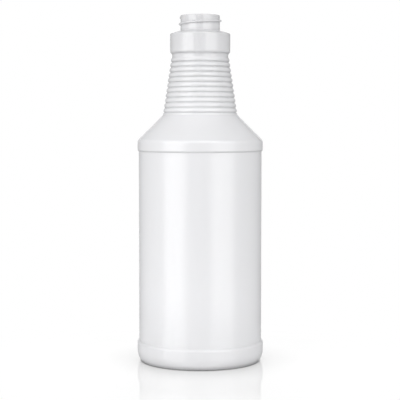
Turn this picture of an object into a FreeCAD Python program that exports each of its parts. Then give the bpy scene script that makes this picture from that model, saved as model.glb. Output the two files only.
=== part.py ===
import FreeCAD, Part
import math
import operator
import os
from types import SimpleNamespace

import Sketcher

# Blow-moulded HDPE carafe bottle: a round body with a 45 degree shoulder, a ribbed
# grip neck, a plain collar and a 28 mm screw finish. One piece, open and empty.
# Millimetres, +Z up, origin on the axis at the level that the bottle stands on.

NODE = "bottle"
SHEET = "Dimensions"

# Driving dimensions: alias, value, meaning. Heights are from the standing level.
DIMENSIONS = [
    ("total_height", 219.7, "sealing face of the mouth"),
    # base
    ("foot_inner_radius", 33.4, "inner edge of the standing ring"),
    ("foot_radius", 37.6, "outer edge of the standing ring"),
    ("heel_height", 7.2, "where the heel curve meets the base band"),
    ("recess_height", 3.0, "flat panel pushed up inside the standing ring"),
    ("recess_radius", 27.0, "radius of that panel"),
    ("pinch_length", 44.0, "pinch-off seam across the base, over its round ends"),
    ("pinch_width", 1.2, "width of the pinch-off seam"),
    ("pinch_rise", 0.6, "how far the seam stands below the panel"),
    # body
    ("base_radius", 40.3, "base band"),
    ("base_band_top", 12.2, "upper edge of the base band"),
    ("base_step", 1.4, "height of the slope from the base band in to the panel"),
    ("panel_radius", 39.13, "long plain panel"),
    ("panel_top", 133.6, "upper end of the panel"),
    ("band_step", 1.1, "height of the slope out to the shoulder band"),
    ("band_radius", 39.92, "shoulder band"),
    ("shoulder_height", 140.65, "where the shoulder cone would meet the shoulder band"),
    ("shoulder_arc", 3.4, "radius between the shoulder band and the shoulder cone"),
    # ribbed neck
    ("ring_radius", 23.6, "plain ring at the foot of the neck"),
    ("ring_top", 157.75, "upper edge of that ring"),
    ("rib_count", 11, "ribs on the neck"),
    ("rib_pitch", 3.18, "height from rib to rib"),
    ("rib_depth", 0.95, "crest to groove"),
    ("rib_crest", 1.3, "width of a rib's crest"),
    ("rib_taper", 0.15, "growth of the crest radius for each mm downwards"),
    ("rib_radius", 18.55, "crest radius of the top rib"),
    ("rib_height", 191.6, "height of the top rib"),
    ("neck_radius", 17.76, "plain neck under the collar"),
    # collar
    ("collar_foot", 195.15, "where the collar's underside leaves the neck"),
    ("collar_bottom", 196.25, "lower edge of the collar"),
    ("collar_radius", 19.06, "collar"),
    ("collar_top", 208.1, "upper edge of the collar"),
    ("collar_root", 210.15, "where the collar's sloped top meets the finish"),
    # screw finish, single start, right hand, 6 threads to the inch
    ("finish_radius", 12.45, "wall that carries the thread"),
    ("bore_radius", 10.8, "through the finish"),
    ("thread_radius", 13.6, "thread crest"),
    ("thread_pitch", 4.233, "rise in a turn"),
    ("thread_turns", 1.0, "turns at full height"),
    ("thread_fade", 0.14, "turns in which each end rises from the wall"),
    ("thread_height", 213.8, "middle of the bead at the lower end of the full turn"),
    ("thread_angle", 155.0, "direction of that end, in degrees from +X towards +Y"),
    ("bead_root", 1.7, "width of the bead at the wall"),
    ("bead_crest", 0.6, "width of the bead at its crest"),
    # walls
    ("wall", 0.8, "body and shoulder"),
    ("neck_wall", 1.0, "neck and collar"),
    ("base_wall", 1.2, "base and standing ring"),
    # bevels
    ("foot_bevel", 0.6, "outer edge of the standing ring"),
    ("base_bevel", 0.4, "upper edge of the base band"),
    ("collar_bevel", 0.6, "upper edge of the collar"),
    ("root_bevel", 0.4, "foot of the finish"),
    ("rim_bevel", 0.8, "outer edge of the mouth"),
    ("lip_bevel", 0.3, "inner edge of the mouth"),
]

BEAD_SINK = 0.2  # how deep the bead is rooted in the wall of the finish
MITRE = math.tan(math.radians(22.5))  # what a 45 degree bend takes off, for each mm of offset
DIAGONAL = math.sqrt(0.5)  # rise and run of each mm along the 45 degree shoulder

OPERATIONS = {"+": operator.add, "-": operator.sub, "*": operator.mul, "/": operator.truediv}


class Size:
    """A number that carries its formula, so that a sketch stays bound to the sheet."""

    def __init__(self, value, formula):
        self.value = value
        self.formula = formula

    def __add__(self, other):
        return combine(self, "+", other)

    def __radd__(self, other):
        return combine(other, "+", self)

    def __sub__(self, other):
        return combine(self, "-", other)

    def __rsub__(self, other):
        return combine(other, "-", self)

    def __mul__(self, other):
        return combine(self, "*", other)

    def __rmul__(self, other):
        return combine(other, "*", self)

    def __truediv__(self, other):
        return combine(self, "/", other)


def as_size(number):
    """The number itself if it is a Size, or a Size for a plain number."""
    return number if isinstance(number, Size) else Size(number, str(number))


def combine(left, sign, right):
    """Two sizes joined by + - * or /."""
    left = as_size(left)
    right = as_size(right)
    value = OPERATIONS[sign](left.value, right.value)
    return Size(value, f"({left.formula} {sign} {right.formula})")


def make_sheet(doc):
    """Write the driving dimensions into a sheet and give them back as sizes by name."""
    sheet = doc.addObject("Spreadsheet::Sheet", SHEET)
    for row, (alias, value, meaning) in enumerate(DIMENSIONS, start=1):
        sheet.set(f"A{row}", meaning)
        sheet.set(f"B{row}", str(value))
        sheet.setAlias(f"B{row}", alias)
    doc.recompute()
    return SimpleNamespace(**{alias: Size(value, f"{SHEET}.{alias}") for alias, value, _ in DIMENSIONS})


def origin_plane(body, role):
    """One of the body's own origin planes."""
    return next(feature for feature in body.Origin.OriginFeatures if feature.Role == role)


def new_sketch(body, name, role="XZ_Plane"):
    """An empty sketch on an origin plane of the body."""
    sketch = body.newObject("Sketcher::SketchObject", name)
    sketch.AttachmentSupport = [(origin_plane(body, role), "")]
    sketch.MapMode = "FlatFace"
    return sketch


def arc_through(start, end, radius):
    """The arc of this radius that turns left on its way from start to end."""
    chord = end - start
    to_centre = math.sqrt(radius**2 - (chord.Length / 2) ** 2)
    left = FreeCAD.Vector(-chord.y, chord.x, 0).normalize()
    centre = (start + end) / 2 + left * to_centre
    angles = [math.atan2(point.y - centre.y, point.x - centre.x) for point in (start, end)]
    return Part.ArcOfCircle(Part.Circle(centre, FreeCAD.Vector(0, 0, 1), radius), angles[0], angles[1])


def draw_outline(sketch, corners):
    """Draw a closed outline, anticlockwise, and bind its corners and arcs to the sheet.

    Each corner is (radius, height), or (radius, height, arc radius) where an arc that
    bulges outwards leads to the next corner.
    """
    corners = [tuple(as_size(number) for number in corner) for corner in corners]
    points = [FreeCAD.Vector(corner[0].value, corner[1].value, 0) for corner in corners]
    count = len(corners)
    for index, corner in enumerate(corners):
        start = points[index]
        end = points[(index + 1) % count]
        if len(corner) == 2:
            sketch.addGeometry(Part.LineSegment(start, end))
        else:
            sketch.addGeometry(arc_through(start, end, corner[2].value))
    for index, corner in enumerate(corners):
        follower = (index + 1) % count
        sketch.addConstraint(Sketcher.Constraint("Coincident", index, 2, follower, 1))
        place(sketch, "DistanceX", index, 1, corner[0])
        place(sketch, "DistanceY", index, 1, corner[1])
        if len(corner) > 2:
            number = sketch.addConstraint(Sketcher.Constraint("Radius", index, corner[2].value))
            bind(sketch, number, f"arc_{index}", corner[2])


def place(sketch, kind, geometry, end, size):
    """Fix one coordinate of a point: on the axis where it is zero, bound to the sheet elsewhere."""
    if size.value == 0:
        axis = -2 if kind == "DistanceX" else -1
        sketch.addConstraint(Sketcher.Constraint("PointOnObject", geometry, end, axis))
        return
    number = sketch.addConstraint(Sketcher.Constraint(kind, -1, 1, geometry, end, size.value))
    bind(sketch, number, f"{kind}_{geometry}", size)


def bind(sketch, number, name, size):
    """Name a constraint and drive it from the sheet."""
    sketch.renameConstraint(number, name)
    sketch.setExpression(f"Constraints.{name}", size.formula)


def rib_corners(size):
    """The ribs from the lowest up: a flat crest each between two flanks that meet in a groove.

    The top rib falls straight to the plain neck, with no groove above it.
    """
    corners = []
    for step in range(int(size.rib_count.value) - 1, -1, -1):
        crest = size.rib_crest / size.rib_pitch / 2
        corners.append(rib_point(size, step + 0.5, size.rib_depth))
        corners.append(rib_point(size, step + crest, 0))
        corners.append(rib_point(size, step - crest, 0))
    corners.append((size.neck_radius, size.rib_height + size.rib_pitch / 2))
    return corners


def rib_point(size, step, depth):
    """A point on the tapering neck, a number of rib pitches below the top rib and a depth in."""
    drop = step * size.rib_pitch
    return (size.rib_radius + size.rib_taper * drop - depth, size.rib_height - drop)


def ring_bottom(size):
    """Height at which the 45 degree shoulder reaches the ring at the foot of the neck."""
    return size.shoulder_height + size.band_radius - size.ring_radius


def outer_outline(size):
    """Half section of the solid bottle, from the middle of the base round to the mouth."""
    heel_drop = size.base_radius - size.foot_radius
    heel_arc = (heel_drop * heel_drop + size.heel_height * size.heel_height) / (2 * heel_drop)
    bend = size.shoulder_arc * MITRE
    base = [
        (0, size.recess_height),
        (size.recess_radius, size.recess_height),
        (size.foot_inner_radius, 0),
        (size.foot_radius, 0, heel_arc),
        (size.base_radius, size.heel_height),
        (size.base_radius, size.base_band_top),
    ]
    body = [
        (size.panel_radius, size.base_band_top + size.base_step),
        (size.panel_radius, size.panel_top),
        (size.band_radius, size.panel_top + size.band_step),
        (size.band_radius, size.shoulder_height - bend, size.shoulder_arc),
        (size.band_radius - bend * DIAGONAL, size.shoulder_height + bend * DIAGONAL),
        (size.ring_radius, ring_bottom(size)),
        (size.ring_radius, size.ring_top),
    ]
    top = [
        (size.neck_radius, size.collar_foot),
        (size.collar_radius, size.collar_bottom),
        (size.collar_radius, size.collar_top),
        (size.finish_radius, size.collar_root),
        (size.finish_radius, size.total_height),
        (0, size.total_height),
    ]
    return base + body + rib_corners(size) + top


def cavity_outline(size):
    """Half section of the space inside, which keeps the wall behind every step of the outside."""
    floor = size.recess_height + size.base_wall
    shoulder_drop = size.wall * MITRE
    return [
        (0, floor),
        (size.recess_radius, floor),
        (size.foot_inner_radius, size.base_wall),
        (size.foot_radius - size.base_wall, size.base_wall),
        (size.base_radius - size.base_wall, size.heel_height),
        (size.base_radius - size.wall, size.base_band_top),
        (size.panel_radius - size.wall, size.base_band_top + size.base_step),
        (size.panel_radius - size.wall, size.panel_top),
        (size.band_radius - size.wall, size.panel_top + size.band_step),
        (size.band_radius - size.wall, size.shoulder_height - shoulder_drop),
        (size.ring_radius - size.neck_wall - size.rib_depth / 2, ring_bottom(size) - shoulder_drop),
        (size.neck_radius - size.neck_wall, size.rib_height),
        (size.neck_radius - size.neck_wall, size.collar_foot + size.neck_wall / 2),
        (size.collar_radius - size.neck_wall, size.collar_bottom + size.neck_wall / 2),
        (size.collar_radius - size.neck_wall, size.collar_top - size.neck_wall),
        (size.bore_radius, size.collar_root - size.neck_wall),
        (size.bore_radius, size.total_height),
        (0, size.total_height),
    ]


def turn(body, kind, name, sketch):
    """Revolve a sketch round the bottle's axis; kind is Revolution or Groove."""
    feature = body.newObject(f"PartDesign::{kind}", name)
    feature.Profile = sketch
    feature.ReferenceAxis = (sketch, ["V_Axis"])
    feature.Angle = 360
    body.Document.recompute()


def bevel_ring(body, name, width, radius, height):
    """Chamfer the round edge of the body that lies at this radius and height."""
    previous = body.Tip
    names = [
        f"Edge{number}"
        for number, edge in enumerate(previous.Shape.Edges, start=1)
        if is_ring(edge, radius.value, as_size(height).value)
    ]
    if not names:
        raise RuntimeError(f"{name}: there is no such edge")
    feature = body.newObject("PartDesign::Chamfer", name)
    feature.Base = (previous, names)
    feature.setExpression("Size", width.formula)
    body.Document.recompute()


def is_ring(edge, radius, height):
    """Whether an edge is a circle round the axis at this radius and height."""
    curve = edge.Curve
    if not isinstance(curve, Part.Circle):
        return False
    near = 0.001
    centred = math.hypot(curve.Center.x, curve.Center.y) < near
    return centred and abs(curve.Radius - radius) < near and abs(curve.Center.z - height) < near


def draw_bead(body, name, size, height):
    """Section of the thread bead at a height, turned round to where the full turn ends."""
    sketch = new_sketch(body, name)
    about_axis = FreeCAD.Rotation(FreeCAD.Vector(0, 1, 0), size.thread_angle.value)
    sketch.AttachmentOffset = FreeCAD.Placement(FreeCAD.Vector(), about_axis)
    sketch.setExpression(".AttachmentOffset.Rotation.Angle", size.thread_angle.formula)
    root = size.finish_radius - BEAD_SINK
    corners = [
        (root, height - size.bead_root / 2),
        (size.thread_radius, height - size.bead_crest / 2),
        (size.thread_radius, height + size.bead_crest / 2),
        (root, height + size.bead_root / 2),
    ]
    draw_outline(sketch, corners)
    return sketch


def wind(body, name, size, sketch, turns, fades=False, downwards=False):
    """Wind a bead section up round the axis, or down, and into the wall where it fades."""
    feature = body.newObject("PartDesign::AdditiveHelix", name)
    feature.Profile = sketch
    feature.ReferenceAxis = (sketch, ["V_Axis"])
    feature.Mode = "pitch-turns-angle"
    feature.LeftHanded = False
    feature.Reversed = downwards
    feature.setExpression("Pitch", size.thread_pitch.formula)
    feature.setExpression("Turns", turns.formula)
    if fades:
        drop = size.thread_radius - size.finish_radius + BEAD_SINK
        rise = turns * size.thread_pitch
        feature.setExpression("Angle", f"-atan({drop.formula} / {rise.formula})")
    body.Document.recompute()


def add_thread(body, size):
    """One full turn of bead, with an end at each side that sinks into the wall."""
    upper_height = size.thread_height + size.thread_turns * size.thread_pitch
    lower_bead = draw_bead(body, "thread_bead", size, size.thread_height)
    wind(body, "thread_turn", size, lower_bead, size.thread_turns)
    lower_end = draw_bead(body, "thread_lower_end_bead", size, size.thread_height)
    wind(body, "thread_lower_end", size, lower_end, size.thread_fade, fades=True, downwards=True)
    upper_end = draw_bead(body, "thread_upper_end_bead", size, upper_height)
    wind(body, "thread_upper_end", size, upper_end, size.thread_fade, fades=True)


def add_pinch_seam(body, size):
    """The seam that the mould's halves leave where they close the tube across the base."""
    sketch = new_sketch(body, "pinch_outline", "XY_Plane")
    sketch.setExpression(".AttachmentOffset.Base.z", (size.recess_height - size.pinch_rise).formula)
    half = size.pinch_width / 2
    end = size.pinch_length / 2 - half
    for side in (1, -1):
        first = FreeCAD.Vector(-side * end.value, -side * half.value, 0)
        last = FreeCAD.Vector(side * end.value, -side * half.value, 0)
        sketch.addGeometry(Part.LineSegment(first, last))
        circle = Part.Circle(FreeCAD.Vector(side * end.value, 0, 0), FreeCAD.Vector(0, 0, 1), half.value)
        start = -side * math.pi / 2
        sketch.addGeometry(Part.ArcOfCircle(circle, start, start + math.pi))
    for index in range(4):
        sketch.addConstraint(Sketcher.Constraint("Tangent", index, 2, (index + 1) % 4, 1))
    right_arc, left_arc, centre = 1, 3, 3
    place(sketch, "DistanceX", right_arc, centre, end)
    sketch.addConstraint(Sketcher.Constraint("PointOnObject", right_arc, centre, -1))
    sketch.addConstraint(Sketcher.Constraint("Symmetric", right_arc, centre, left_arc, centre, -1, 1))
    number = sketch.addConstraint(Sketcher.Constraint("Radius", right_arc, half.value))
    bind(sketch, number, "seam_end", half)
    seam = body.newObject("PartDesign::Pad", "pinch_seam")
    seam.Profile = sketch
    seam.setExpression("Length", (size.pinch_rise + size.base_wall / 2).formula)
    body.Document.recompute()


def make_bottle(doc, size):
    """The whole bottle as one PartDesign body."""
    body = doc.addObject("PartDesign::Body", NODE)
    body.Label = NODE

    outline = new_sketch(body, "outer_outline")
    draw_outline(outline, outer_outline(size))
    turn(body, "Revolution", "outer_form", outline)

    bevel_ring(body, "foot_bevel", size.foot_bevel, size.foot_radius, 0)
    bevel_ring(body, "base_band_bevel", size.base_bevel, size.base_radius, size.base_band_top)
    bevel_ring(body, "collar_bevel", size.collar_bevel, size.collar_radius, size.collar_top)
    bevel_ring(body, "root_bevel", size.root_bevel, size.finish_radius, size.collar_root)
    bevel_ring(body, "rim_bevel", size.rim_bevel, size.finish_radius, size.total_height)

    add_thread(body, size)

    cavity = new_sketch(body, "cavity_outline")
    draw_outline(cavity, cavity_outline(size))
    turn(body, "Groove", "cavity", cavity)
    bevel_ring(body, "lip_bevel", size.lip_bevel, size.bore_radius, size.total_height)

    add_pinch_seam(body, size)
    return body


def check_document(doc):
    """Stop if anything in the document failed to build."""
    for item in doc.Objects:
        if "Invalid" in item.State or "Error" in item.State:
            raise RuntimeError(f"{item.Name} failed: {item.State}")


def export(part):
    """Check a finished part and write it to its STEP file."""
    shape = part.Shape
    if shape.isNull() or not shape.isValid():
        raise RuntimeError(f"{part.Label} has no valid shape")
    if len(shape.Solids) != 1:
        raise RuntimeError(f"{part.Label} is {len(shape.Solids)} solids, not one")
    shape.exportStep(os.path.join("parts", f"{part.Label}.step"))
    box = shape.optimalBoundingBox()
    print(f"{part.Label}: {box.ZLength:.2f} mm tall, {shape.Volume:.0f} mm3")


document = FreeCAD.newDocument("carafe_bottle")
sizes = make_sheet(document)
bottle = make_bottle(document, sizes)
document.recompute()
check_document(document)
os.makedirs("parts", exist_ok=True)
export(bottle)
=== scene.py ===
import math

import bpy
from mathutils import Matrix, Vector


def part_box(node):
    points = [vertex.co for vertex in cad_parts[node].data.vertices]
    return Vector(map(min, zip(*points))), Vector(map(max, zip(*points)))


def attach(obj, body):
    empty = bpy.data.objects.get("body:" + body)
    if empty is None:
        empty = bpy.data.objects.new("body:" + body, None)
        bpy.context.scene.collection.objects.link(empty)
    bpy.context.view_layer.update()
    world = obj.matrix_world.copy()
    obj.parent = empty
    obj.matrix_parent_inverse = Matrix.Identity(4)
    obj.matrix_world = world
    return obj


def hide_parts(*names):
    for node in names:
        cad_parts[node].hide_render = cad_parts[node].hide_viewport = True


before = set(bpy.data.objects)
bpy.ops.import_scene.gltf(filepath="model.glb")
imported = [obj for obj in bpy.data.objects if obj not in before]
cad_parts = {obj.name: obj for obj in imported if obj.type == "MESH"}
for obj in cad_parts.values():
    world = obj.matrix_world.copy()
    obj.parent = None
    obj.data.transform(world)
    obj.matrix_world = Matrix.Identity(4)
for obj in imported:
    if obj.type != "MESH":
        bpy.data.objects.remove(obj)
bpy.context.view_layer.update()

mm = 0.001  # the script's lengths are written in mm and used in metres
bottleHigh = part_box("bottle")[1]
print("frame loaded")


def hexToLinear(code):
    # sRGB hex to the linear red, green and blue that a shader takes
    channels = [int(code[place:place + 2], 16) / 255 for place in (1, 3, 5)]
    return [c / 12.92 if c <= 0.04045 else ((c + 0.055) / 1.055) ** 2.4 for c in channels]


def addNode(tree, kind, settings=None, links=None):
    # one node with its settings and the sockets that feed it
    node = tree.nodes.new(kind)
    for name, value in (settings or {}).items():
        if isinstance(name, int) or name in node.inputs:
            node.inputs[name].default_value = value
        else:
            setattr(node, name, value)
    for name, source in (links or {}).items():
        tree.links.new(source, node.inputs[name])
    return node


def newMaterial(name):
    material = bpy.data.materials.new(name)
    material.use_nodes = True
    material.node_tree.nodes.clear()
    return material, material.node_tree


def addObject(name, data):
    # puts a mesh, a lamp or a camera into the scene
    piece = bpy.data.objects.new(name, data)
    bpy.context.scene.collection.objects.link(piece)
    return piece


bottle = {
    "height": bottleHigh[2] / mm,
    "baseRadius": bottleHigh[0] / mm - 0.01,  # the CAD's flats lie just inside its circle
    # base
    "footInner": 33.4, "footRadius": 37.6, "footRound": 1.2,
    "heelHeight": 7.2, "heelSteps": 9,
    "recessHeight": 3.0, "recessRadius": 27.0, "recessRound": 2.0,
    # body
    "baseBandTop": 12.2, "baseStep": 1.4, "baseRound": 1.8, "ledgeRound": 0.5,
    "panelRadius": 39.13, "panelTop": 133.6,
    "bandStep": 1.1, "bandRadius": 39.92, "bandRound": 0.6,
    "shoulderHeight": 140.65, "shoulderRound": 3.4,
    # ribbed neck
    "ringRadius": 23.6, "ringTop": 157.75, "ringRound": 0.5, "ringTopRound": 0.3,
    "ribCount": 11, "ribPitch": 3.18, "ribDepth": 0.95,
    "ribTaper": 0.15, "ribRadius": 18.55, "ribHeight": 191.6,
    "ribSteps": 4, "grooveRound": 0.12, "lastGrooveRound": 0.8,
    "neckRadius": 17.76,
    # collar
    "collarFoot": 195.15, "collarFootRound": 1.5, "collarBottom": 196.25, "collarEdgeRound": 1.6,
    "collarRadius": 19.06, "collarTop": 208.1, "collarRound": 1.0,
    "collarRoot": 210.15, "rootRound": 0.6,
    # finish
    "finishRadius": 12.45, "boreRadius": 10.8, "rimRound": 1.0, "lipRound": 0.4,
    # walls
    "wall": 0.8, "neckWall": 1.0, "baseWall": 1.2,
    # rounding of the inside
    "innerRound": 1.0, "innerStepRound": 0.8, "innerNeckRound": 5.0, "innerRingRound": 2.0,
    "innerShoulderRound": 3.0, "innerHeelRound": 4.0, "innerFootRound": 1.5,
    # mesh
    "columns": 216,
    "arcStep": 10.0, "innerStep": 20.0,  # degrees between the rings of a rounding
    "edgeRing": 0.25, "innerEdgeRing": 0.5,  # from a rounding to the first ring on the straight
    "ringGap": 12.0, "innerRingGap": 30.0,  # the most between two rings on a straight
    "axisGap": 5.0,  # rings closer to the axis would only make slivers
    "threadRow": 0.14,  # between the rows of the grid that carries the thread
    "beadBelow": 3, "beadAbove": 2,  # rows past that grid over which the thread may still stand out
    "rimGap": 0.05,  # from the wall's last ring to the rounding of the rim
}

thread = {
    "radius": 13.6, "pitch": 4.233, "turns": 1.0, "fade": 0.14,
    "height": 213.8, "angle": 155.0,  # middle of the bead where the full turn starts
    "rootWidth": 1.7, "crestWidth": 0.6, "sink": 0.3,
}

partingLine = {
    "width": 0.5,  # degrees of the ridge that the mould halves leave on both sides
    "rise": 0.06,  # mm
    "places": (-0.5, -0.2, 0.2, 0.5),  # the columns across it, in widths
    "crest": 0.3,  # columns this close to its middle stand proud, in widths
    # the weld under the base, where the mould pinched the parison off
    "pinchLength": 44.0, "pinchWidth": 1.4, "pinchRise": 0.6,
}


def ribCorners(b):
    # full round ribs with narrow grooves between them, from the lowest up, on the neck's taper
    half = b["ribPitch"] / 2
    arc = (half ** 2 + b["ribDepth"] ** 2) / (2 * b["ribDepth"])
    corners = []
    for step in range(b["ribCount"] - 1, -1, -1):
        for part in range(-b["ribSteps"], b["ribSteps"]):
            place = half * part / b["ribSteps"]
            drop = step * b["ribPitch"] - place
            depth = arc - math.sqrt(arc ** 2 - place ** 2)
            radius = b["ribRadius"] + b["ribTaper"] * drop - depth
            rounding = b["grooveRound"] if part == -b["ribSteps"] else 0
            corners.append((radius, b["ribHeight"] - drop, rounding))
    # the top rib falls to the plain neck, with no groove above it
    corners.append((b["neckRadius"], b["ribHeight"] + half, b["lastGrooveRound"]))
    return corners


def outerCorners(b):
    # radius, height and rounding, from the middle of the base up to the foot of the finish
    heelDrop = b["baseRadius"] - b["footRadius"]
    heelArc = (heelDrop ** 2 + b["heelHeight"] ** 2) / (2 * heelDrop)
    heel = []
    for step in range(1, b["heelSteps"]):
        height = b["heelHeight"] * step / b["heelSteps"]
        reach = heelArc - math.sqrt(heelArc ** 2 - (b["heelHeight"] - height) ** 2)
        heel.append((b["baseRadius"] - reach, height, 0))
    ringBottom = b["shoulderHeight"] + b["bandRadius"] - b["ringRadius"]
    base = [
        (b["recessRadius"], b["recessHeight"], b["recessRound"]),
        (b["footInner"], 0, b["footRound"]),
        (b["footRadius"], 0, b["footRound"]),
    ]
    body = [
        (b["baseRadius"], b["heelHeight"], 0),
        (b["baseRadius"], b["baseBandTop"], b["baseRound"]),
        (b["panelRadius"], b["baseBandTop"] + b["baseStep"], b["ledgeRound"]),
        (b["panelRadius"], b["panelTop"], b["bandRound"]),
        (b["bandRadius"], b["panelTop"] + b["bandStep"], b["bandRound"]),
        (b["bandRadius"], b["shoulderHeight"], b["shoulderRound"]),
        (b["ringRadius"], ringBottom, b["ringRound"]),
        (b["ringRadius"], b["ringTop"], b["ringTopRound"]),
    ]
    collar = [
        (b["neckRadius"], b["collarFoot"], b["collarFootRound"]),
        (b["collarRadius"], b["collarBottom"], b["collarEdgeRound"]),
        (b["collarRadius"], b["collarTop"], b["collarRound"]),
        (b["finishRadius"], b["collarRoot"], b["rootRound"]),
    ]
    return base + heel + body + ribCorners(b) + collar


def innerCorners(b):
    # the inside of the wall, from the mouth down to the middle of the floor
    ringBottom = b["shoulderHeight"] + b["bandRadius"] - b["ringRadius"]
    mitre = math.tan(math.radians(45 / 2)) * b["wall"]  # what the 45 degree shoulder takes off
    neckInside = b["neckRadius"] - b["neckWall"]
    ringInside = b["ringRadius"] - b["neckWall"] - b["ribDepth"] / 2
    collarInside = b["collarRadius"] - b["neckWall"]
    bandInside = b["bandRadius"] - b["wall"]
    panelInside = b["panelRadius"] - b["wall"]
    return [
        (b["boreRadius"], b["collarRoot"] - b["neckWall"], b["innerRound"]),
        (collarInside, b["collarTop"] - b["neckWall"], b["innerRound"]),
        (collarInside, b["collarBottom"] + b["neckWall"] / 2, b["innerStepRound"]),
        (neckInside, b["collarFoot"] + b["neckWall"] / 2, b["innerStepRound"]),
        (neckInside, b["ribHeight"], b["innerNeckRound"]),
        (ringInside, ringBottom - mitre, b["innerRingRound"]),
        (bandInside, b["shoulderHeight"] - mitre, b["innerShoulderRound"]),
        (bandInside, b["panelTop"] + b["bandStep"], b["innerStepRound"]),
        (panelInside, b["panelTop"], b["innerStepRound"]),
        (panelInside, b["baseBandTop"] + b["baseStep"], b["innerRound"]),
        (b["baseRadius"] - b["wall"], b["baseBandTop"], b["innerRound"]),
        (b["baseRadius"] - b["baseWall"], b["heelHeight"], b["innerHeelRound"]),
        (b["footRadius"] - b["baseWall"], b["baseWall"], b["innerFootRound"]),
        (b["footInner"], b["baseWall"], b["innerFootRound"]),
        (b["recessRadius"], b["recessHeight"] + b["baseWall"], b["recessRound"]),
    ]


def roundedLine(corners, arcStep):
    # turns corners with a rounding into points on arcs
    share = 0.47  # of a straight, the most that one rounding may take
    least = 0.02  # mm of rounding, or radians of turn, under which a corner stays sharp
    shortest = 0.1  # mm, about the least edge on an arc
    points = [corners[0][:2]]
    for before, here, after in zip(corners, corners[1:], corners[2:]):
        corner = Vector(here[:2])
        back = Vector(before[:2]) - corner
        ahead = Vector(after[:2]) - corner
        turn = math.pi - back.angle(ahead)
        reach = min(here[2] * math.tan(turn / 2), share * back.length, share * ahead.length)
        if reach < least or turn < least:
            points.append(tuple(corner))
            continue
        radius = reach / math.tan(turn / 2)
        start = corner + back.normalized() * reach
        end = corner + ahead.normalized() * reach
        inwards = (back.normalized() + ahead.normalized()).normalized()
        centre = corner + inwards * (radius / math.cos(turn / 2))
        steps = min(math.ceil(math.degrees(turn) / arcStep), math.ceil(turn * radius / shortest))
        steps = max(2, steps)
        first = start - centre
        side = 1 if first.cross(end - centre) > 0 else -1
        for step in range(steps + 1):
            angle = side * turn * step / steps
            spun = Matrix.Rotation(angle, 2) @ first
            points.append(tuple(centre + spun))
    points.append(corners[-1][:2])
    return points


def holdStraights(points, edge, longest):
    # extra points on the straights, so that shading stays flat up to a rounding
    held = [points[0]]
    for start, end in zip(points, points[1:]):
        a, b = Vector(start), Vector(end)
        length = (b - a).length
        if length > 3 * edge:
            count = max(1, math.ceil((length - 2 * edge) / longest))
            places = [edge + (length - 2 * edge) * step / count for step in range(count + 1)]
            held += [tuple(a.lerp(b, place / length)) for place in places]
        held.append(end)
    return held


def beadRise(t, wallRadius, angle, height):
    # how far the thread stands out of the wall in this direction and at this height
    full = t["radius"] - wallRadius
    rise = 0.0
    lowTip = -t["fade"]
    highTip = t["turns"] + t["fade"]
    turnAt = (angle - t["angle"]) / 360
    for lap in range(-2, 3):
        along = turnAt + lap  # turns from the start of the full bead
        if not lowTip < along < highTip:
            continue
        out = min((along - lowTip) / t["fade"], (highTip - along) / t["fade"], 1.0)
        away = abs(height - t["height"] - along * t["pitch"])
        flank = (t["rootWidth"] / 2 - away) / (t["rootWidth"] / 2 - t["crestWidth"] / 2)
        flank = min(max(flank, 0.0), 1.0)
        flank = flank * flank * (3 - 2 * flank)  # rounds the foot and the crest
        rise = max(rise, flank * full - (1 - out) * (full + t["sink"]))
    return rise


def pinchSeam(b, line):
    # a low round ridge along the parting plane, with its foot sunk into the base
    half = line["pinchWidth"] / 2
    reach = line["pinchLength"] / 2 - half
    lapSteps, rings = 12, 6
    vertices = []
    for ring in range(1, rings + 1):
        spread = math.sin(math.pi / 2 * ring / rings)
        drop = line["pinchRise"] * math.cos(math.pi / 2 * ring / rings)
        height = b["recessHeight"] - drop if ring < rings else b["recessHeight"] + b["baseWall"] / 2
        for end in (1, -1):
            for step in range(lapSteps + 1):
                turn = math.radians(90 - 180 * step / lapSteps)
                x = end * (reach + half * spread * math.cos(turn))
                y = end * half * spread * math.sin(turn)
                vertices.append((x * mm, y * mm, height * mm))
    count = 2 * (lapSteps + 1)
    faces = []
    for ring in range(rings - 1):
        here, out = ring * count, (ring + 1) * count
        for place in range(count):
            after = (place + 1) % count
            faces.append((here + place, here + after, out + after, out + place))
    faces.append(tuple(reversed(range(count))))
    faces.append(tuple(range((rings - 1) * count, rings * count)))
    return vertices, faces


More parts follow.
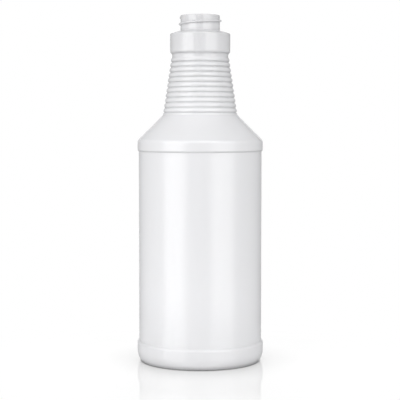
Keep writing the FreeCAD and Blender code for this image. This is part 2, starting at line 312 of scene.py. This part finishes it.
def buildShell(b, t, line):
    outside = [(0, b["recessHeight"], 0)] + outerCorners(b) + [(b["finishRadius"], b["height"], 0)]
    lower = holdStraights(roundedLine(outside, b["arcStep"])[:-1], b["edgeRing"], b["ringGap"])
    # the finish is a fine grid that carries the thread
    rimFoot = b["height"] - b["rimRound"]
    rows = math.ceil((rimFoot - lower[-1][1]) / b["threadRow"])
    rise = (rimFoot - lower[-1][1]) / rows
    wall = [(b["finishRadius"], lower[-1][1] + rise * row) for row in range(1, rows)]
    inside = innerCorners(b)
    rim = [(b["finishRadius"], rimFoot - b["rimGap"], 0),
           (b["finishRadius"], b["height"], b["rimRound"]),
           (b["boreRadius"], b["height"], b["lipRound"])]
    mouth = roundedLine(rim + [inside[0]], b["arcStep"])[:-1]
    deep = roundedLine([mouth[-1] + (0,)] + inside + [(0, b["recessHeight"] + b["baseWall"], 0)],
                       b["innerStep"])[1:]
    deep = holdStraights(deep, b["innerEdgeRing"], b["innerRingGap"])
    lower, deep = ([point for point in points if point[0] == 0 or point[0] > b["axisGap"]]
                   for points in (lower, deep))
    profile = lower + wall + mouth + deep

    # even columns, and close ones over each parting line
    angles = [360 * column / b["columns"] for column in range(b["columns"])]
    for side in (0, 180):
        angles += [side + line["width"] * place for place in line["places"]]
    angles = sorted(angle % 360 for angle in angles)

    firstWall, lastWall = len(lower), len(lower) + len(wall)
    vertices = [(0, 0, profile[0][1] * mm)]
    for number, (radius, height) in enumerate(profile[1:-1], start=1):
        isOutside = number < lastWall
        for angle in angles:
            out = radius
            if firstWall - b["beadBelow"] <= number < lastWall + b["beadAbove"]:
                out += beadRise(t, b["finishRadius"], angle, height)
            if isOutside:
                nearSeam = min(abs(angle - side) for side in (0, 180, 360))
                if nearSeam < line["crest"] * line["width"]:
                    out = min(out + line["rise"], b["baseRadius"])
            turn = math.radians(angle)
            vertices.append((out * math.cos(turn) * mm, out * math.sin(turn) * mm, height * mm))
    vertices.append((0, 0, profile[-1][1] * mm))

    count = len(angles)
    rings = len(profile) - 2
    faces = [(0, 1 + (column + 1) % count, 1 + column) for column in range(count)]
    for ring in range(rings - 1):
        here, above = 1 + ring * count, 1 + (ring + 1) * count
        for column in range(count):
            after = (column + 1) % count
            faces.append((here + column, here + after, above + after, above + column))
    last, middle = 1 + (rings - 1) * count, len(vertices) - 1
    faces += [(middle, last + column, last + (column + 1) % count) for column in range(count)]

    seamVertices, seamFaces = pinchSeam(b, line)
    start = len(vertices)
    vertices += seamVertices
    faces += [tuple(start + index for index in face) for face in seamFaces]

    mesh = bpy.data.meshes.new("bottle_shell")
    mesh.from_pydata(vertices, [], faces)
    mesh.polygons.foreach_set("use_smooth", [True] * len(mesh.polygons))
    mesh.validate()
    return addObject("bottle_shell", mesh)


shell = buildShell(bottle, thread, partingLine)
print("bottle shell built:", len(shell.data.polygons), "faces")


hdpe = {
    "colour": "#EBEBED", "ior": 1.54, "specular": 0.72,
    "roughness": 0.25,  # to which the grain adds up to grainSheen
    "neckPaintedShade": 0.84, "neckRoughness": 0.15,  # at the mouth, where the neck ends: the painted shade on the colour, and the roughness
    "paintedShadeReach": 2.6, "paintedShadeDepth": 0.42,  # mm, and the share of the colour that the painted shade takes from a groove
    "paintedShadeRays": 8,
    "grainSize": 0.55,  # mm, fine blast of the mould's face; drawn coarser than the real 0.1
    "grainHeight": 0.01, "grainStrength": 0.3, "grainSheen": 0.015,
    "milk": 0.12, "milkReach": 1.5, "milkTint": (1.0, 0.95, 0.9),  # light scattered inside the wall
}


def makeHdpe(values):
    # blow-moulded HDPE: milky white with a broad soft sheen and a faint uneven skin; its colour
    # carries painted shade in the grooves and corners and up the neck
    material, tree = newMaterial("blow-moulded HDPE")
    place = addNode(tree, "ShaderNodeTexCoord")
    grain = addNode(tree, "ShaderNodeTexNoise",
                    {"Scale": 1 / (values["grainSize"] * mm), "Detail": 2.0},
                    {"Vector": place.outputs["Object"]})
    skin = addNode(tree, "ShaderNodeBump",
                   {"Strength": values["grainStrength"], "Distance": values["grainHeight"] * mm},
                   {"Height": grain.outputs["Fac"]})
    # painted shade: the base colour is darkened in the grooves and corners, where less light
    # reaches
    paintedShadeAO = addNode(tree, "ShaderNodeAmbientOcclusion",
                   {"Distance": values["paintedShadeReach"] * mm, "samples": values["paintedShadeRays"]})
    shade = addNode(tree, "ShaderNodeMapRange",
                    {"To Min": 1.0 - values["paintedShadeDepth"], "To Max": 1.0},
                    {"Value": paintedShadeAO.outputs["AO"]})
    # the mould's neck inserts are polished: up the neck the resin is glossier, and its colour is
    # painted a little darker as shade towards the top
    parts = addNode(tree, "ShaderNodeSeparateXYZ", {}, {"Vector": place.outputs["Object"]})

    def overNeck(body, neck):
        ramp = addNode(tree, "ShaderNodeMapRange",
                       {"From Min": bottle["ringTop"] * mm, "From Max": bottle["height"] * mm,
                        "To Min": body, "To Max": neck},
                       {"Value": parts.outputs["Z"]})
        return ramp.outputs["Result"]

    # the painted shade of the grooves and of the neck, multiplied into the base colour
    paintedShade = addNode(tree, "ShaderNodeMath", {"operation": "MULTIPLY"},
                   {0: shade.outputs["Result"], 1: overNeck(1.0, values["neckPaintedShade"])})
    colour = addNode(tree, "ShaderNodeVectorMath",
                     {"operation": "SCALE", 0: hexToLinear(values["colour"])},
                     {"Scale": paintedShade.outputs["Value"]})
    sheen = addNode(tree, "ShaderNodeMath", {"operation": "MULTIPLY_ADD", 1: values["grainSheen"]},
                    {0: grain.outputs["Fac"],
                     2: overNeck(values["roughness"], values["neckRoughness"])})
    shader = addNode(tree, "ShaderNodeBsdfPrincipled",
                     {"IOR": values["ior"],
                      "Specular IOR Level": values["specular"],
                      "Subsurface Weight": values["milk"],
                      "Subsurface Scale": values["milkReach"] * mm,
                      "Subsurface Radius": values["milkTint"]},
                     {"Base Color": colour.outputs["Vector"], "Roughness": sheen.outputs["Value"],
                      "Normal": skin.outputs["Normal"]})
    addNode(tree, "ShaderNodeOutputMaterial", {}, {"Surface": shader.outputs["BSDF"]})
    return material


shell.data.materials.append(makeHdpe(hdpe))
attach(shell, "root")
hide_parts("bottle")
print("HDPE applied")


def addRaySorts(tree):
    # the light path, and the rays that come off gloss or through clear material
    path = addNode(tree, "ShaderNodeLightPath")
    mirrored = addNode(tree, "ShaderNodeMath", {"operation": "MAXIMUM"},
                       {0: path.outputs["Is Glossy Ray"], 1: path.outputs["Is Transmission Ray"]})
    return path, mirrored


table = {
    "colour": "#F4F4F4",
    "ior": 1.33, "mirror": 0.85,  # how much it mirrors to the camera, and to the bottle
    "roughness": 0.0,  # a true mirror, which the world's white for the table counts on
    "lit": 0.2, "lift": 0.82,  # the lit and the plain share of its white for the camera
    "bounce": 0.7,  # the share of its white that lights the bottle
    "radius": 160.0,  # mm
    "shadeReach": 30.0, "shadeDepth": 0.32,  # mm, and the share of light lost round the foot
    "gapReach": 1.2, "gapDepth": 0.7,  # the same right under the foot
    "shadeRays": 12,
    "fadeStart": 92.0, "fadeEnd": 156.0,  # mm from the bottle, where it goes over to plain white
}


def makeFloor(values):
    # a small polished table; light passes beside and below it, as round a stand in a studio
    material, tree = newMaterial("white acrylic sheet, polished")
    path, mirrored = addRaySorts(tree)
    seen = addNode(tree, "ShaderNodeMath", {"operation": "MAXIMUM"},
                   {0: path.outputs["Is Camera Ray"], 1: mirrored.outputs["Value"]})
    # the soft shadow close round the foot
    near = addNode(tree, "ShaderNodeAmbientOcclusion",
                   {"Distance": values["shadeReach"] * mm, "samples": values["shadeRays"]})
    shade = addNode(tree, "ShaderNodeMapRange",
                    {"To Min": 1.0 - values["shadeDepth"], "To Max": 1.0},
                    {"Value": near.outputs["AO"]})
    # and painted shade in the narrow gap where the foot meets the table
    gap = addNode(tree, "ShaderNodeAmbientOcclusion",
                  {"Distance": values["gapReach"] * mm, "samples": values["shadeRays"]})
    dark = addNode(tree, "ShaderNodeMapRange",
                   {"To Min": 1.0 - values["gapDepth"], "To Max": 1.0},
                   {"Value": gap.outputs["AO"]})
    shade = addNode(tree, "ShaderNodeMath", {"operation": "MULTIPLY"},
                    {0: shade.outputs["Result"], 1: dark.outputs["Result"]})
    # the camera sees part of the table's white as lit and part as a plain lift
    litShare = addNode(tree, "ShaderNodeMapRange",
                       {"To Min": values["bounce"], "To Max": values["lit"]},
                       {"Value": path.outputs["Is Camera Ray"]})
    lit = addNode(tree, "ShaderNodeMath", {"operation": "MULTIPLY"},
                  {0: litShare.outputs["Result"], 1: shade.outputs["Value"]})
    colour = addNode(tree, "ShaderNodeVectorMath",
                     {"operation": "SCALE", 0: hexToLinear(values["colour"])},
                     {"Scale": lit.outputs["Value"]})
    matt = addNode(tree, "ShaderNodeBsdfDiffuse", {}, {"Color": colour.outputs["Vector"]})
    lift = addNode(tree, "ShaderNodeMath", {"operation": "MULTIPLY", 1: values["lift"]},
                   {0: seen.outputs["Value"]})
    shadedLift = addNode(tree, "ShaderNodeMath", {"operation": "MULTIPLY"},
                         {0: lift.outputs["Value"], 1: shade.outputs["Value"]})
    glow = addNode(tree, "ShaderNodeEmission", {}, {"Strength": shadedLift.outputs["Value"]})
    lifted = addNode(tree, "ShaderNodeAddShader", {},
                     {0: matt.outputs["BSDF"], 1: glow.outputs["Emission"]})
    gloss = addNode(tree, "ShaderNodeBsdfGlossy",
                    {"Color": (1, 1, 1, 1), "Roughness": values["roughness"]})
    edgeOn = addNode(tree, "ShaderNodeFresnel", {"IOR": values["ior"]})
    share = addNode(tree, "ShaderNodeMapRange", {"To Max": values["mirror"]},
                    {"Value": mirrored.outputs["Value"], "To Min": edgeOn.outputs["Fac"]})
    sheet = addNode(tree, "ShaderNodeMixShader", {},
                    {0: share.outputs["Result"],
                     1: lifted.outputs["Shader"], 2: gloss.outputs["BSDF"]})
    # towards its edge the camera sees plain white, as on a swept backdrop
    place = addNode(tree, "ShaderNodeTexCoord")
    away = addNode(tree, "ShaderNodeVectorMath", {"operation": "LENGTH"},
                   {0: place.outputs["Object"]})
    far = addNode(tree, "ShaderNodeMapRange",
                  {"From Min": values["fadeStart"] * mm, "From Max": values["fadeEnd"] * mm,
                   "interpolation_type": "SMOOTHSTEP"}, {"Value": away.outputs["Value"]})
    swept = addNode(tree, "ShaderNodeMath", {"operation": "MULTIPLY"},
                    {0: far.outputs["Result"], 1: path.outputs["Is Camera Ray"]})
    sweep = addNode(tree, "ShaderNodeEmission")
    mixed = addNode(tree, "ShaderNodeMixShader", {},
                    {0: swept.outputs["Value"],
                     1: sheet.outputs["Shader"], 2: sweep.outputs["Emission"]})
    addNode(tree, "ShaderNodeOutputMaterial", {}, {"Surface": mixed.outputs["Shader"]})

    mesh = bpy.data.meshes.new("floor")
    reach = values["radius"] * mm
    rim = [math.radians(angle) for angle in range(0, 360, 5)]
    mesh.from_pydata([(reach * math.cos(turn), reach * math.sin(turn), 0) for turn in rim], [],
                     [list(range(len(rim)))])
    floor = addObject("floor", mesh)
    floor.data.materials.append(material)


room = {
    # how much light comes from each side, and how fast it falls off round it
    "front": 0.03, "back": 0.06, "left": 0.71, "right": 0.61, "above": 0.08,
    "falloff": 2.0,
    "backdropSpread": 21.0,  # degrees round the straight view that the white backdrop takes up
    "backdropCore": 0.76,  # the share of them that is fully white
    "straightOff": 2.5,  # a ray that came by the table alone has depth 2 here, and others more
}


def makeWorld(values):
    # the room's soft light, with its own strength on each side; the camera sees white all round,
    # and reflections see the white backdrop behind the bottle
    world = bpy.data.worlds.new("studio")
    bpy.context.scene.world = world
    world.use_nodes = True
    tree = world.node_tree
    tree.nodes.clear()
    direction = addNode(tree, "ShaderNodeTexCoord").outputs["Generated"]
    total = None
    for side, name in (((0, -1, 0), "front"), ((0, 1, 0), "back"), ((-1, 0, 0), "left"),
                       ((1, 0, 0), "right"), ((0, 0, 1), "above")):
        facing = addNode(tree, "ShaderNodeVectorMath", {"operation": "DOT_PRODUCT", 1: side},
                         {0: direction})
        ahead = addNode(tree, "ShaderNodeMath", {"operation": "MAXIMUM", 1: 0.0},
                        {0: facing.outputs["Value"]})
        soft = addNode(tree, "ShaderNodeMath", {"operation": "POWER", 1: values["falloff"]},
                       {0: ahead.outputs["Value"]})
        share = addNode(tree, "ShaderNodeMath",
                        {"operation": "MULTIPLY_ADD", 1: values[name], 2: 0.0},
                        {0: soft.outputs["Value"]})
        if total:
            tree.links.new(total, share.inputs[2])
        total = share.outputs["Value"]

    path, mirrored = addRaySorts(tree)
    parts = addNode(tree, "ShaderNodeSeparateXYZ", {}, {"Vector": direction})
    spread = math.radians(values["backdropSpread"])
    backdrop = addNode(tree, "ShaderNodeMapRange",
                       {"From Min": math.cos(spread),
                        "From Max": math.cos(spread * values["backdropCore"])},
                       {"Value": parts.outputs["Y"]})
    reflected = addNode(tree, "ShaderNodeMath", {"operation": "MULTIPLY"},
                        {0: mirrored.outputs["Value"], 1: backdrop.outputs["Result"]})
    # only the table is a true mirror, so a singular ray comes off it: one that comes straight from
    # the camera sees the same white there as beside the table
    first = addNode(tree, "ShaderNodeMath", {"operation": "LESS_THAN", 1: values["straightOff"]},
                    {0: path.outputs["Ray Depth"]})
    inTable = addNode(tree, "ShaderNodeMath", {"operation": "MULTIPLY"},
                      {0: path.outputs["Is Singular Ray"], 1: first.outputs["Value"]})
    white = addNode(tree, "ShaderNodeMath", {"operation": "MAXIMUM"},
                    {0: reflected.outputs["Value"], 1: inTable.outputs["Value"]})
    seen = addNode(tree, "ShaderNodeMath", {"operation": "MAXIMUM"},
                   {0: path.outputs["Is Camera Ray"], 1: white.outputs["Value"]})
    strength = addNode(tree, "ShaderNodeMapRange", {"To Max": 1.0},
                       {"Value": seen.outputs["Value"], "To Min": total})
    light = addNode(tree, "ShaderNodeBackground", {"Color": (1, 1, 1, 1)},
                    {"Strength": strength.outputs["Result"]})
    addNode(tree, "ShaderNodeOutputWorld", {}, {"Surface": light.outputs["Background"]})


# degrees round the bottle and up from level, and mm across and high
softBoxes = {
    "key": {"azimuth": -48.0, "lift": 14.0, "width": 720.0, "height": 1300.0, "power": 5.9},
    "fill": {"azimuth": 42.0, "lift": 14.0, "width": 760.0, "height": 1300.0, "power": 5.3},
    "top": {"azimuth": 0.0, "lift": 45.0, "width": 900.0, "height": 240.0, "power": 2.0},
    "back": {"azimuth": 180.0, "lift": 38.0, "width": 600.0, "height": 500.0, "power": 6.2},
}
lampDistance = 900.0  # mm from the middle of the bottle


def addSoftBox(name, values):
    # a rectangular lamp that faces the middle of the bottle
    lamp = bpy.data.lights.new(name, "AREA")
    lamp.shape = "RECTANGLE"
    lamp.size = values["width"] * mm
    lamp.size_y = values["height"] * mm
    lamp.energy = values["power"]
    box = addObject(name, lamp)
    target = Vector((0, 0, bottleHigh[2] / 2))
    turn, lift = math.radians(values["azimuth"]), math.radians(values["lift"])
    level = math.cos(lift)
    away = Vector((math.sin(turn) * level, -math.cos(turn) * level, math.sin(lift)))
    box.location = target + away * lampDistance * mm
    box.rotation_euler = away.to_track_quat("Z", "Y").to_euler()
    return box


camera = {
    "distance": 786.0, "height": 153.9, "side": -0.13,  # mm
    "tilt": 3.73,  # degrees down
    "lens": 110.97,
}


def makeCamera(values):
    lens = bpy.data.cameras.new("camera")
    lens.lens = values["lens"]
    eye = addObject("camera", lens)
    eye.location = (values["side"] * mm, -values["distance"] * mm, values["height"] * mm)
    eye.rotation_euler = (math.radians(90 - values["tilt"]), 0, 0)
    bpy.context.scene.camera = eye


makeFloor(table)
makeWorld(room)
lamps = {name: addSoftBox(name, values) for name, values in softBoxes.items()}
# this one lifts the side turned away and leaves no reflection of its own
lamps["back"].visible_glossy = False
makeCamera(camera)
bpy.context.scene.view_settings.view_transform = "Standard"
print("studio ready")
